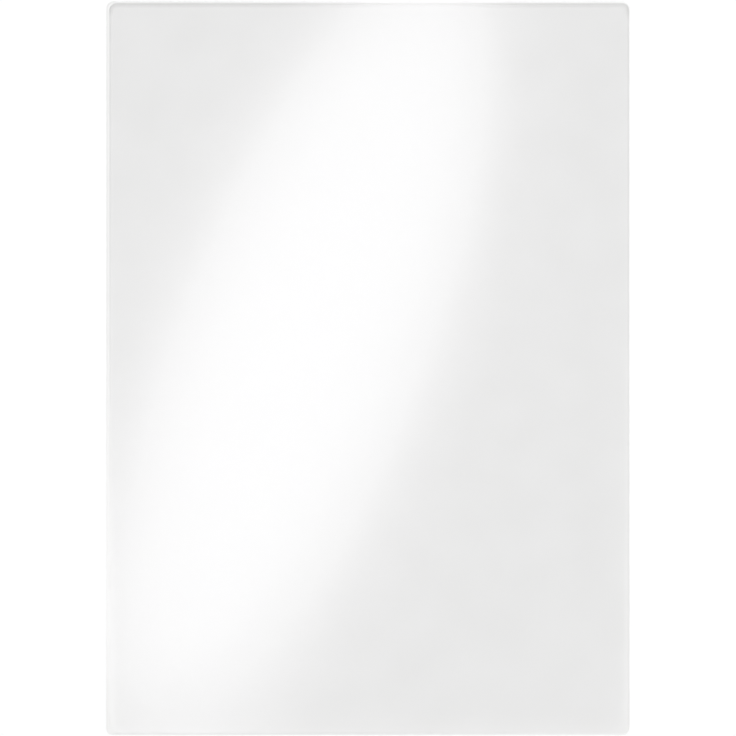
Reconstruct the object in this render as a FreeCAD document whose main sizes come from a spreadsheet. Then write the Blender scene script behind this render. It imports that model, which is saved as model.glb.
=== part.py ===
import FreeCAD, Part
import math
import os
import Sketcher

# A clear laminating pouch for an A4 sheet: two films laid on each other, heat-sealed along one short edge
# and open along the other three. X runs across the pouch. Y runs along it, from the open mouth to the
# sealed edge. Z is up from the level surface that the back film lies on, and the origin is the middle of
# the pouch's outline on that surface.

os.makedirs("parts", exist_ok=True)
doc = FreeCAD.newDocument("LaminatingPouch")

# The sizes are in millimetres. A set-in is how far an edge of the front film lies inside the back film's.
# The seal's width is that of the band where the two films are welded. The mouth's gap is how high the
# front film's free edge stands over the back film.
SIZES = (
    ("pouch_width", 216.0),
    ("pouch_length", 303.0),
    ("corner_radius", 3.0),
    ("film_thickness", 0.125),
    ("left_set_in", 1.2),
    ("seal_set_in", 0.8),
    ("mouth_set_in", 1.0),
    ("seal_width", 1.7),
    ("mouth_gap", 3.0),
)

sheet = doc.addObject("Spreadsheet::Sheet", "Sizes")
for row, (alias, value) in enumerate(SIZES, start=1):
    sheet.set(f"A{row}", alias)
    sheet.set(f"B{row}", str(value))
    sheet.setAlias(f"B{row}", alias)
doc.recompute()

FRONT_WIDTH = "Sizes.pouch_width - Sizes.left_set_in"
FRONT_LENGTH = "Sizes.pouch_length - Sizes.seal_set_in - Sizes.mouth_set_in"
POINTS = ("edge", "start", "end", "centre")
SKETCH_ORIGIN = (-1, "start")


def size(alias):
    """The value of one driving size."""
    return float(sheet.get(alias))


def new_sketch(body, label, role):
    """A sketch on the body's own origin plane of that role."""
    plane = next(feature for feature in body.Origin.OriginFeatures if feature.Role == role)
    sketch = body.newObject("Sketcher::SketchObject", label)
    sketch.AttachmentSupport = (plane, "")
    sketch.MapMode = "FlatFace"
    return sketch


def constraint(kind, *places):
    """A constraint whose points on an edge are given as the words start, end and centre."""
    return Sketcher.Constraint(kind, *[POINTS.index(p) if p in POINTS else p for p in places])


def constrain(sketch, *rules):
    """Adds constraints that have no size."""
    for rule in rules:
        sketch.addConstraint(constraint(*rule))


def dimension(sketch, name, expression, kind, *places_and_value):
    """Adds one sized constraint, and ties it to the sheet."""
    index = sketch.addConstraint(constraint(kind, *places_and_value))
    sketch.renameConstraint(index, name)
    sketch.setExpression(f"Constraints.{name}", expression)


def require_fully_constrained(sketch):
    """Stops if the sketch can't be solved or leaves anything free."""
    if sketch.solve() != 0 or not sketch.FullyConstrained:
        raise RuntimeError(f"{sketch.Label} isn't fully constrained")


def pad(body, sketch, expression, side):
    """Gives the sketch's profile the length that the expression says."""
    feature = body.newObject("PartDesign::Pad", f"{sketch.Label}Pad")
    feature.Profile = sketch
    feature.SideType = side
    feature.setExpression("Length", expression)
    sketch.Visibility = False
    doc.recompute()
    return feature


def round_corners(body, blank):
    """Rounds the blank's four corners: its only edges about as short as the film is thick."""
    longest_corner = 2 * size("film_thickness")
    corners = [
        f"Edge{number}"
        for number, edge in enumerate(blank.Shape.Edges, start=1)
        if edge.Length < longest_corner
    ]
    if len(corners) != 4:
        raise RuntimeError(f"{body.Label} has {len(corners)} corners, not 4")
    fillet = body.newObject("PartDesign::Fillet", f"{body.Label}_corners")
    fillet.Base = (blank, corners)
    fillet.setExpression("Radius", "Sizes.corner_radius")
    body.Tip = fillet
    doc.recompute()
    return fillet


def back_film():
    """The back film, cut to the pouch's whole outline, lies flat on the surface."""
    body = doc.addObject("PartDesign::Body", "back_film")
    sketch = new_sketch(body, "BackOutline", "XY_Plane")
    half_width = size("pouch_width") / 2
    half_length = size("pouch_length") / 2
    corners = [
        FreeCAD.Vector(-half_width, -half_length, 0),
        FreeCAD.Vector(half_width, -half_length, 0),
        FreeCAD.Vector(half_width, half_length, 0),
        FreeCAD.Vector(-half_width, half_length, 0),
    ]
    mouth, right, seal, left = [
        sketch.addGeometry(Part.LineSegment(corners[i], corners[(i + 1) % len(corners)]))
        for i in range(len(corners))
    ]
    constrain(
        sketch,
        ("Coincident", mouth, "end", right, "start"),
        ("Coincident", right, "end", seal, "start"),
        ("Coincident", seal, "end", left, "start"),
        ("Coincident", left, "end", mouth, "start"),
        ("Horizontal", mouth),
        ("Horizontal", seal),
        ("Vertical", right),
        ("Vertical", left),
        ("Symmetric", mouth, "start", seal, "start", *SKETCH_ORIGIN),
    )
    dimension(
        sketch, "width", "Sizes.pouch_width",
        "DistanceX", mouth, "start", mouth, "end", 2 * half_width,
    )
    dimension(
        sketch, "length", "Sizes.pouch_length",
        "DistanceY", right, "start", right, "end", 2 * half_length,
    )
    doc.recompute()
    require_fully_constrained(sketch)
    blank = pad(body, sketch, "Sizes.film_thickness", "One side")
    round_corners(body, blank)
    return body


def front_film():
    """The front film is flat along the seal, and from there it rises in one even curve to the mouth.

    Its side profile starts at the closed edge, on the film's underside. The curve of each face is one arc,
    which leaves the seal's band without a kink, and both arcs have the same centre, far above the film.
    """
    body = doc.addObject("PartDesign::Body", "front_film")
    sketch = new_sketch(body, "FrontSideProfile", "YZ_Plane")
    thickness = size("film_thickness")
    band = size("seal_width")
    gap = size("mouth_gap")
    length = size("pouch_length") - size("seal_set_in") - size("mouth_set_in")
    reach = length - band
    radius = (reach**2 + gap**2) / (2 * gap)
    centre = FreeCAD.Vector(-band, radius, 0)
    sketch_normal = FreeCAD.Vector(0, 0, 1)

    def mouth_point(arc_radius):
        """The end of one face's arc, on the mouth's straight cut."""
        return FreeCAD.Vector(-length, radius - math.sqrt(arc_radius**2 - reach**2), 0)

    def arc(arc_radius):
        """One face's arc, from the mouth to the seal's band."""
        circle = Part.Circle(centre, sketch_normal, arc_radius)
        mouth_angle = -math.pi / 2 - math.asin(reach / arc_radius)
        return sketch.addGeometry(Part.ArcOfCircle(circle, mouth_angle, -math.pi / 2))

    def line(start, end):
        """One straight edge of the profile."""
        return sketch.addGeometry(Part.LineSegment(start, end))

    underside_start = FreeCAD.Vector(0, 0, 0)
    top_start = FreeCAD.Vector(0, thickness, 0)
    underside_band = line(underside_start, FreeCAD.Vector(-band, 0, 0))
    underside_curve = arc(radius)
    top_band = line(top_start, FreeCAD.Vector(-band, thickness, 0))
    top_curve = arc(radius - thickness)
    closed_edge = line(top_start, underside_start)
    mouth_edge = line(mouth_point(radius - thickness), mouth_point(radius))
    constrain(
        sketch,
        ("Coincident", underside_band, "start", *SKETCH_ORIGIN),
        ("Coincident", closed_edge, "start", top_band, "start"),
        ("Coincident", closed_edge, "end", underside_band, "start"),
        ("Tangent", underside_band, "end", underside_curve, "end"),
        ("Tangent", top_band, "end", top_curve, "end"),
        ("Coincident", top_curve, "start", mouth_edge, "start"),
        ("Coincident", underside_curve, "start", mouth_edge, "end"),
        ("Coincident", underside_curve, "centre", top_curve, "centre"),
        ("Horizontal", underside_band),
        ("Horizontal", top_band),
        ("Vertical", closed_edge),
        ("Vertical", mouth_edge),
    )
    dimension(
        sketch, "band", "Sizes.seal_width",
        "DistanceX", underside_band, "end", underside_band, "start", band,
    )
    dimension(
        sketch, "thickness", "Sizes.film_thickness",
        "DistanceY", closed_edge, "end", closed_edge, "start", thickness,
    )
    dimension(
        sketch, "length", FRONT_LENGTH,
        "DistanceX", mouth_edge, "end", underside_band, "start", length,
    )
    dimension(
        sketch, "gap", "Sizes.mouth_gap",
        "DistanceY", underside_band, "start", mouth_edge, "end", gap,
    )
    doc.recompute()
    require_fully_constrained(sketch)
    blank = pad(body, sketch, FRONT_WIDTH, "Symmetric")
    round_corners(body, blank)
    body.setExpression(".Placement.Base.x", "Sizes.left_set_in / 2")
    body.setExpression(".Placement.Base.y", "Sizes.pouch_length / 2 - Sizes.seal_set_in")
    body.setExpression(".Placement.Base.z", "Sizes.film_thickness")
    doc.recompute()
    middle_radius = radius - thickness / 2
    flat_length = band + middle_radius * math.asin(reach / middle_radius)
    return body, flat_length


def require_volume(body, flat_width, flat_length):
    """Stops if the film doesn't hold what its flat size says, to within half of one corner's waste."""
    square_waste = size("corner_radius") ** 2 * size("film_thickness")
    corner_waste = square_waste - square_waste * math.pi / 4
    expected = flat_width * flat_length * size("film_thickness") - 4 * corner_waste
    if abs(body.Shape.Volume - expected) > corner_waste / 2:
        raise RuntimeError(f"{body.Label} holds {body.Shape.Volume:.2f}, not {expected:.2f} cubic mm")


back = back_film()
front, front_flat_length = front_film()
require_volume(back, size("pouch_width"), size("pouch_length"))
require_volume(front, size("pouch_width") - size("left_set_in"), front_flat_length)

for item in doc.Objects:
    if {"Invalid", "Error"} & set(item.State):
        raise RuntimeError(f"{item.Label} failed: {item.State}")
for film in (back, front):
    if film.Shape.isNull() or not film.Shape.isValid() or len(film.Shape.Solids) != 1:
        raise RuntimeError(f"{film.Label} isn't one valid solid")
for film in (back, front):
    film.Shape.exportStep(f"parts/{film.Label}.step")
    box = film.Shape.BoundBox
    print(
        f"{film.Label}: {film.Shape.Volume:.1f} cubic mm,"
        f" X {box.XMin:.3f} to {box.XMax:.3f},"
        f" Y {box.YMin:.3f} to {box.YMax:.3f},"
        f" Z {box.ZMin:.3f} to {box.ZMax:.3f}"
    )
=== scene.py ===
import math

import bmesh
import bpy
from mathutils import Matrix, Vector


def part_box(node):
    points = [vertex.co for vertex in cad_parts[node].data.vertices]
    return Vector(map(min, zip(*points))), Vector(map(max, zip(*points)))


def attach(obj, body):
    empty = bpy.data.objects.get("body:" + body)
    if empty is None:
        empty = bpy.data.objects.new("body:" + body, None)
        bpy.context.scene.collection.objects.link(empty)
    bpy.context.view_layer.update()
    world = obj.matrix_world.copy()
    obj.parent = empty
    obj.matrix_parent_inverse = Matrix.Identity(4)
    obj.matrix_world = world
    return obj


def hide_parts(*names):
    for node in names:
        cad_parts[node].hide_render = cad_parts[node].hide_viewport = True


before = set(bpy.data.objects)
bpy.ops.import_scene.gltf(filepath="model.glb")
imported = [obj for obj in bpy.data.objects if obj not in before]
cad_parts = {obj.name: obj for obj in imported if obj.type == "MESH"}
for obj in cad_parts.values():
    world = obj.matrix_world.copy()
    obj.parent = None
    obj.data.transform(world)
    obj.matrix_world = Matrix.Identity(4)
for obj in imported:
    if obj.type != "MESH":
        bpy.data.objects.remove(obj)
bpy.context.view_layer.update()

# The back film
# One sheet of clear polyester with adhesive coated on its inner side, die-cut with rounded corners. It lies
# flat, and the front film is heat-sealed to it along one short edge.

MM = 0.001
CORNER_RADIUS = 3.0 * MM
CORNER_STEPS = 10
EDGE_ROUNDING = 0.03 * MM
GRID_STEP = 3.0 * MM
RING_SHARES = (0.35, 0.7)
LEVEL = 0.5

back_low, back_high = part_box("back_film")
FILM_THICKNESS = back_high.z - back_low.z


class Wire:
    """The output of a node. Arithmetic on it adds Math nodes, and Wire.node adds any other node."""

    def __init__(self, socket):
        self.socket = socket

    @staticmethod
    def node(tree, kind, settings, values, output=0):
        """Adds a node, sets it up, gives its sockets their values or links, and wraps one output."""
        made = tree.nodes.new(kind)
        for name, setting in settings.items():
            setattr(made, name, setting)
        for key, value in values.items():
            if isinstance(value, Wire):
                tree.links.new(value.socket, made.inputs[key])
            else:
                made.inputs[key].default_value = value
        return Wire(made.outputs[output]) if made.outputs else None

    def after(self, kind, settings, values, output=0):
        """Adds a node to the tree that this output is in."""
        return Wire.node(self.socket.id_data, kind, settings, values, output)

    def math(self, operation, *others):
        """One Math node on this and others."""
        return self.after("ShaderNodeMath", {"operation": operation}, dict(enumerate((self, *others))))

    def rise(self, start, end):
        """A soft step: 0 up to start, and 1 from end on."""
        settings = {"interpolation_type": "SMOOTHSTEP"}
        ends = {"Value": self, "From Min": start, "From Max": end}
        return self.after("ShaderNodeMapRange", settings, ends)

    def blend(self, first, second):
        """The colour that lies this share of the way from the first to the second."""
        colours = {"Factor": self, "A": first, "B": second}
        return self.after("ShaderNodeMix", {"data_type": "RGBA"}, colours, 2)

    def __add__(self, other):
        return self.math("ADD", other)

    def __sub__(self, other):
        return self.math("SUBTRACT", other)

    def __rsub__(self, other):
        return self.after("ShaderNodeMath", {"operation": "SUBTRACT"}, {0: other, 1: self})

    def __mul__(self, other):
        return self.math("MULTIPLY", other)

    def __pow__(self, power):
        return self.math("POWER", power)

    def __abs__(self):
        return self.math("ABSOLUTE")

    __radd__ = __add__
    __rmul__ = __mul__


HAZE = (0.92, 0.91, 0.84, 1)
HAZE_SCALE = 60.0
HAZE_SPREAD = 0.016
# The colour of the seal and the rims is painted shade: it stands for the light that the fused and cut edges
# bend away.
SEAL_AND_RIM_SHADE = (0.42, 0.42, 0.40, 1)
FILM_COVER = 0.067
SEAL_AND_RIM_SHADE_COVER = 0.22
FILM_SHINE = 0.6
FILM_ROUGHNESS = 0.109
GLANCE_POWER = 5

# These are millimetres: how far inwards the rim reaches, and between where across the film it fades.
RIM_REACH = (0.6, 1.2)
RIM_FADE = (-105.0, 105.0)
RIM_LOSS = 0.7


def bare_material(name):
    """A new material, and its empty node tree."""
    material = bpy.data.materials.new(name)
    material.use_nodes = True
    material.node_tree.nodes.clear()
    return material, material.node_tree


def show(tree, shader):
    """Makes a shader the one that the material shows."""
    Wire.node(tree, "ShaderNodeOutputMaterial", {}, {"Surface": shader})


def from_outline(x, y, low, high):
    """How far a place on the film is from the film's outline, inwards."""
    middle = (low + high) / 2 / MM
    core = (high - low) / 2 / MM - Vector((CORNER_RADIUS, CORNER_RADIUS, 0)) / MM
    past_x = abs(x - middle.x) - core.x
    past_y = abs(y - middle.y) - core.y
    outside = (past_x.math("MAXIMUM", 0.0) ** 2 + past_y.math("MAXIMUM", 0.0) ** 2).math("SQRT")
    return CORNER_RADIUS / MM - outside - past_x.math("MAXIMUM", past_y).math("MINIMUM", 0.0)


def film_side(name, low, high, rim_shade_share, weld_marks_and_shade=None):
    """The upper side of a clear film, which stands for the haze and the shine of both its sides.

    It covers little of what lies under it, and more at a low angle. Along its rim it is painted darker and
    covers more: painted shade for the dark line that light bent in the cut edge shows, less so towards the
    right, where both films were cut flush. It is painted darker too where its last argument says, given x,
    y and how far inwards.
    """
    material, tree = bare_material(name)
    place = Wire.node(tree, "ShaderNodeTexCoord", {}, {}, "Object")
    x, y = [Wire.node(tree, "ShaderNodeSeparateXYZ", {}, {0: place}, axis) * (1 / MM) for axis in "XY"]
    inwards = from_outline(x, y, low, high)
    # Painted shade: a darker, denser line along the rim, for the light that the cut edge bends away.
    seal_and_rim_shade = (1 - inwards.rise(*RIM_REACH)) * (1 - x.rise(*RIM_FADE) * RIM_LOSS) * rim_shade_share
    if weld_marks_and_shade:
        seal_and_rim_shade = (seal_and_rim_shade + weld_marks_and_shade(x, y, inwards)).math("MINIMUM", 1.0)
    glance = Wire.node(tree, "ShaderNodeLayerWeight", {}, {"Blend": 0.5}, "Facing")
    haze = Wire.node(tree, "ShaderNodeTexNoise", {}, {"Vector": place, "Scale": HAZE_SCALE, "Detail": 0.0})
    cover = haze * HAZE_SPREAD + (FILM_COVER - HAZE_SPREAD / 2) + seal_and_rim_shade * SEAL_AND_RIM_SHADE_COVER
    cover = cover + (1 - cover) * glance**GLANCE_POWER
    show(tree, Wire.node(
        tree, "ShaderNodeBsdfPrincipled", {"distribution": "GGX"},
        {
            "Base Color": seal_and_rim_shade.blend(HAZE, SEAL_AND_RIM_SHADE),
            "Metallic": FILM_SHINE,
            "Roughness": FILM_ROUGHNESS,
            "Alpha": cover,
        },
    ))
    return material


lower_side, lower_tree = bare_material("film_lower_side")
show(lower_tree, Wire.node(lower_tree, "ShaderNodeBsdfTransparent", {}, {}))

# Painted shade: the cut edge's grey draws it as the thin dark line that light bent in a clear film's edge
# shows.
CUT_EDGE_SHADE = (0.55, 0.55, 0.53, 1)
CUT_EDGE_ROUGHNESS = 0.4
CUT_EDGE_COVER = 0.2

cut_edge, cut_tree = bare_material("film_cut_edge")
show(cut_tree, Wire.node(
    cut_tree, "ShaderNodeBsdfPrincipled", {},
    {"Base Color": CUT_EDGE_SHADE, "Roughness": CUT_EDGE_ROUGHNESS, "Alpha": CUT_EDGE_COVER},
))


def evenly(start, end):
    """Places from start to end, about a grid step apart."""
    count = max(1, round((end - start) / GRID_STEP))
    return [start + (end - start) * i / count for i in range(count + 1)]


def outline_rays(columns, rows):
    """The rays that reach from the film's core to its outline: (column, row, direction), anticlockwise.

    The core is the rectangle between the centres of the four corners. No point of the film lies further
    from it than a corner's radius.
    """
    right, top = columns - 1, rows - 1
    sides = (
        ([(i, 0) for i in range(columns)], -90),
        ([(right, j) for j in range(rows)], 0),
        ([(i, top) for i in reversed(range(columns))], 90),
        ([(0, j) for j in reversed(range(rows))], 180),
    )
    rays = []
    for cells, facing in sides:
        turns = [facing] * len(cells) + [facing + 90 * k / CORNER_STEPS for k in range(1, CORNER_STEPS)]
        cells += [cells[-1]] * (CORNER_STEPS - 1)
        for (i, j), degrees in zip(cells, turns):
            angle = math.radians(degrees)
            rays.append((i, j, Vector((math.cos(angle), math.sin(angle)))))
    return rays


def edge_section(thickness):
    """One film's section past its core, from the upper face round the cut edge: (reach, rise)."""
    softened = EDGE_ROUNDING * (1 - math.sqrt(0.5))
    upper = [(CORNER_RADIUS * share, thickness) for share in RING_SHARES]
    upper += [
        (CORNER_RADIUS - EDGE_ROUNDING, thickness),
        (CORNER_RADIUS - softened, thickness - softened),
        (CORNER_RADIUS, thickness - EDGE_ROUNDING),
    ]
    return upper + [(reach, thickness - rise) for reach, rise in reversed(upper)]


def film_sheet(name, low, high, underside, thickness, upper_side):
    """A closed film that fills its box's outline. underside(y) is the height of its lower side.

    Its faces take the materials of its upper side, its lower side and its cut edge, in that order.
    """
    xs = evenly(low.x + CORNER_RADIUS, high.x - CORNER_RADIUS)
    ys = evenly(low.y + CORNER_RADIUS, high.y - CORNER_RADIUS)
    rays = outline_rays(len(xs), len(ys))
    mesh = bmesh.new()

    def vertex(x, y, rise):
        """A vertex that stands a given height above the film's lower side."""
        return mesh.verts.new((x, y, underside(y) + rise))

    def face(corners):
        """A face. Corners that fall together count once."""
        distinct = list(dict.fromkeys(corners))
        if len(distinct) > 2:
            mesh.faces.new(distinct).smooth = True

    cores = [[[vertex(x, y, rise) for y in ys] for x in xs] for rise in (thickness, 0)]
    for core, turn in zip(cores, (1, -1)):
        for left, right in zip(core, core[1:]):
            for j in range(len(ys) - 1):
                face([left[j], right[j], right[j + 1], left[j + 1]][::turn])
    loops = [[cores[0][i][j] for i, j, _ in rays]]
    loops += [
        [vertex(xs[i] + way.x * reach, ys[j] + way.y * reach, rise) for i, j, way in rays]
        for reach, rise in edge_section(thickness)
    ]
    loops += [[cores[1][i][j] for i, j, _ in rays]]
    for inner, outer in zip(loops, loops[1:]):
        for k in range(len(rays)):
            face([inner[k - 1], outer[k - 1], outer[k], inner[k]])
    for loop in (loops[len(RING_SHARES) + 1], loops[-len(RING_SHARES) - 2]):
        for k in range(len(rays)):
            mesh.edges.get((loop[k - 1], loop[k])).smooth = False
    data = bpy.data.meshes.new(name)
    mesh.to_mesh(data)
    mesh.free()
    for material in (upper_side, lower_side, cut_edge):
        data.materials.append(material)
    for polygon in data.polygons:
        upwards = polygon.normal.z
        polygon.material_index = 0 if upwards > LEVEL else 1 if upwards < -LEVEL else 2
    film = bpy.data.objects.new(name, data)
    bpy.context.scene.collection.objects.link(film)
    return film


BACK_RIM_SHADE = 0.35

back_side = film_side("back_film_side", back_low, back_high, BACK_RIM_SHADE)
back_sheet = film_sheet(
    "back_sheet", back_low, back_high, lambda y: back_low.z, FILM_THICKNESS, back_side,
)
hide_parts("back_film")
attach(back_sheet, "root")

# The front film
# A second sheet of the same stock, a little narrower and shorter. It is welded to the back film along the
# closed edge, and from there it lifts in one slow curve to the open mouth.

SEAL_WIDTH = 1.7 * MM
WELD_GAP = 0.012 * MM

front_low, front_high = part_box("front_film")
MOUTH_GAP = front_high.z - front_low.z - FILM_THICKNESS
REACH = front_high.y - SEAL_WIDTH - front_low.y
CURL_RADIUS = (REACH**2 + MOUTH_GAP**2) / (2 * MOUTH_GAP)


def front_underside(y):
    """The height of the front film's lower side."""
    from_seal = max(0.0, front_high.y - SEAL_WIDTH - y)
    return front_low.z + WELD_GAP + CURL_RADIUS - math.sqrt(CURL_RADIUS**2 - from_seal**2)


FRONT_RIM_SHADE = 0.18
WELD_SHARE = 0.25
LINE_SHARE = 0.12

# These are millimetres: how far inwards the weld's band and line of painted shade reach, how far down the
# sides they run, and how much sooner the line ends on the right.
WELD_REACH = (1.4, 1.9)
WELD_END = (3.0, 6.0)
LINE_REACH = (0.5, 0.9)
LINE_END = (13.0, 18.0)
LINE_SHORTENED = 9.0
RIGHT_HALF = (-1.0, 1.0)


def seal_marks_and_shade(x, y, inwards):
    """How much painted shade lies where the sealing bar welded the films, for the light that the fused,
    bent
    film refracts away: a band along the closed edge, and a line round its corners.
    """
    from_seal = front_high.y / MM - y
    band = (1 - inwards.rise(*WELD_REACH)) * (1 - from_seal.rise(*WELD_END))
    line_place = from_seal + x.rise(*RIGHT_HALF) * LINE_SHORTENED
    line = (1 - inwards.rise(*LINE_REACH)) * (1 - line_place.rise(*LINE_END))
    return band * WELD_SHARE + line * LINE_SHARE


front_side = film_side("front_film_side", front_low, front_high, FRONT_RIM_SHADE, seal_marks_and_shade)
front_sheet = film_sheet(
    "front_sheet", front_low, front_high, front_underside, FILM_THICKNESS - WELD_GAP, front_side,
)
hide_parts("front_film")
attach(front_sheet, "root")

# The table
# A plain white surface under the pouch, not part of it. The camera sees it at full white, and it keeps the
# shade that the films cast on it.

TABLE_RADIUS = 6.0
TABLE_DROP = 0.03 * MM
TABLE_SHADE = (0.8, 0.8, 0.8, 1)
TABLE_LIFT = (0.22, 0.22, 0.22, 1)
TABLE_FAR_LIFT = (0.75, 0.75, 0.75, 1)
TABLE_FADE = (0.5, 4.0)
TABLE_ROUGHNESS = 0.9
UNLIT = (0.0, 0.0, 0.0, 1)


def sight_rays(tree):
    """1 for rays that end in the picture's view, straight, mirrored or through glass, and 0 for others."""
    kinds = ("Is Camera Ray", "Is Glossy Ray", "Is Transmission Ray")
    camera, glossy, through = [Wire.node(tree, "ShaderNodeLightPath", {}, {}, kind) for kind in kinds]
    return (camera + glossy + through).math("MINIMUM", 1.0)


table_mesh = bmesh.new()
bmesh.ops.create_circle(table_mesh, cap_ends=True, segments=128, radius=TABLE_RADIUS)
table_data = bpy.data.meshes.new("table")
table_mesh.to_mesh(table_data)
table_mesh.free()
table = bpy.data.objects.new("table", table_data)
table.location.z = -TABLE_DROP
bpy.context.scene.collection.objects.link(table)
table_material, table_tree = bare_material("table_white")
table_place = Wire.node(table_tree, "ShaderNodeTexCoord", {}, {}, "Object")
from_middle = table_place.after("ShaderNodeVectorMath", {"operation": "LENGTH"}, {0: table_place}, "Value")
lift = from_middle.rise(*TABLE_FADE).blend(TABLE_LIFT, TABLE_FAR_LIFT)
show(table_tree, Wire.node(
    table_tree, "ShaderNodeBsdfPrincipled", {},
    {
        "Base Color": TABLE_SHADE,
        "Roughness": TABLE_ROUGHNESS,
        "Specular IOR Level": 0.0,
        "Emission Color": sight_rays(table_tree).blend(UNLIT, lift),
        "Emission Strength": 1.0,
    },
))
table_data.materials.append(table_material)

# The camera
# It looks straight down on the pouch from far above, with the sealed edge at the top of the picture.

PICTURE_SIDE = 736
LEFT_COLUMN = 106.2
RIGHT_COLUMN = 629.3
MIDDLE_ROW = 368.3
CAMERA_HEIGHT = 1.5
SENSOR = 36.0

pixel = (back_high.x - back_low.x) / (RIGHT_COLUMN - LEFT_COLUMN)
camera_data = bpy.data.cameras.new("camera")
camera_data.sensor_width = SENSOR
camera_data.lens = SENSOR * CAMERA_HEIGHT / (PICTURE_SIDE * pixel)
camera = bpy.data.objects.new("camera", camera_data)
camera.location = (
    (PICTURE_SIDE - LEFT_COLUMN - RIGHT_COLUMN) / 2 * pixel,
    (MIDDLE_ROW - PICTURE_SIDE / 2) * pixel,
    CAMERA_HEIGHT,
)
bpy.context.scene.collection.objects.link(camera)
bpy.context.scene.camera = camera

# The light
# A long oval lamp beside the camera mirrors in the films as their one slanting highlight. Two broad side
# lamps and a plain pale room light the rest. The room's tall panels show as soft streaks in the films.

GLOSS_CENTRE = Vector((-27.4, 17.3)) * MM
GLOSS_WIDTH = 106.0 * MM
GLOSS_LENGTH = 329.5 * MM
GLOSS_LEAN = math.radians(22.4)
GLOSS_RADIANCE = 3.11
GLOSS_TINT = (0.9, 0.9, 1.0)
GLOSS_LAMP_HEIGHT = 1.5
SIDE_LAMP_SPAN = 1.2
SIDE_LAMP_PLACES = ((-1.6, 0.0, 1.7), (1.6, 0.0, 1.7))
SIDE_LAMP_RADIANCE = 5.0
PANELS = 36
PANEL_SIDES = (0.4, 1.0)
PANEL_FOOT = (0.02, 0.12)
PANEL_HEAD = (0.55, 0.75)
SKY_CLIMB = (0.1, 0.9)
SKY_LOW = (0.5, 0.5, 0.5, 1)
SKY_HIGH = (0.25, 0.25, 0.25, 1)
SKY_PANEL = (1.15, 1.15, 1.15, 1)
SKY_SEEN = (1.0, 1.0, 1.0, 1)


def soft_lamp(name, shape, width, length, radiance):
    """An area lamp of a given radiance."""
    light = bpy.data.lights.new(name, "AREA")
    light.shape = shape
    light.size = width
    light.size_y = length
    light.energy = math.pi * radiance * width * length * (math.pi / 4 if shape == "ELLIPSE" else 1)
    lamp = bpy.data.objects.new(name, light)
    bpy.context.scene.collection.objects.link(lamp)
    return lamp


spread = (CAMERA_HEIGHT + GLOSS_LAMP_HEIGHT) / CAMERA_HEIGHT
gloss_lamp = soft_lamp(
    "gloss_lamp", "ELLIPSE", GLOSS_WIDTH * spread, GLOSS_LENGTH * spread, GLOSS_RADIANCE,
)
gloss_lamp.location = (*(GLOSS_CENTRE * spread), GLOSS_LAMP_HEIGHT)
gloss_lamp.rotation_euler.z = -GLOSS_LEAN
gloss_lamp.visible_camera = False
gloss_lamp.data.color = GLOSS_TINT
for number, place in enumerate(SIDE_LAMP_PLACES, start=1):
    side_lamp = soft_lamp(
        f"side_lamp_{number}", "RECTANGLE", SIDE_LAMP_SPAN, SIDE_LAMP_SPAN, SIDE_LAMP_RADIANCE,
    )
    side_lamp.location = place
    side_lamp.rotation_mode = "QUATERNION"
    side_lamp.rotation_quaternion = (-Vector(place)).to_track_quat("-Z", "Y")

world = bpy.data.worlds.new("room")
bpy.context.scene.world = world
world.use_nodes = True
room_tree = world.node_tree
room_tree.nodes.clear()
towards = Wire.node(room_tree, "ShaderNodeTexCoord", {}, {}, "Generated")
east, north, up = [Wire.node(room_tree, "ShaderNodeSeparateXYZ", {}, {0: towards}, axis) for axis in "XYZ"]
panel = (north.math("ARCTAN2", east) * PANELS).math("COSINE").rise(*PANEL_SIDES)
panel = panel * up.rise(*PANEL_FOOT) * (1 - up.rise(*PANEL_HEAD))
sky = panel.blend(up.rise(*SKY_CLIMB).blend(SKY_LOW, SKY_HIGH), SKY_PANEL)
seen_sky = Wire.node(room_tree, "ShaderNodeLightPath", {}, {}, "Is Camera Ray").blend(sky, SKY_SEEN)
room_light = Wire.node(room_tree, "ShaderNodeBackground", {}, {"Color": seen_sky, "Strength": 1.0})
Wire.node(room_tree, "ShaderNodeOutputWorld", {}, {"Surface": room_light})

bpy.context.scene.view_settings.view_transform = "Standard"
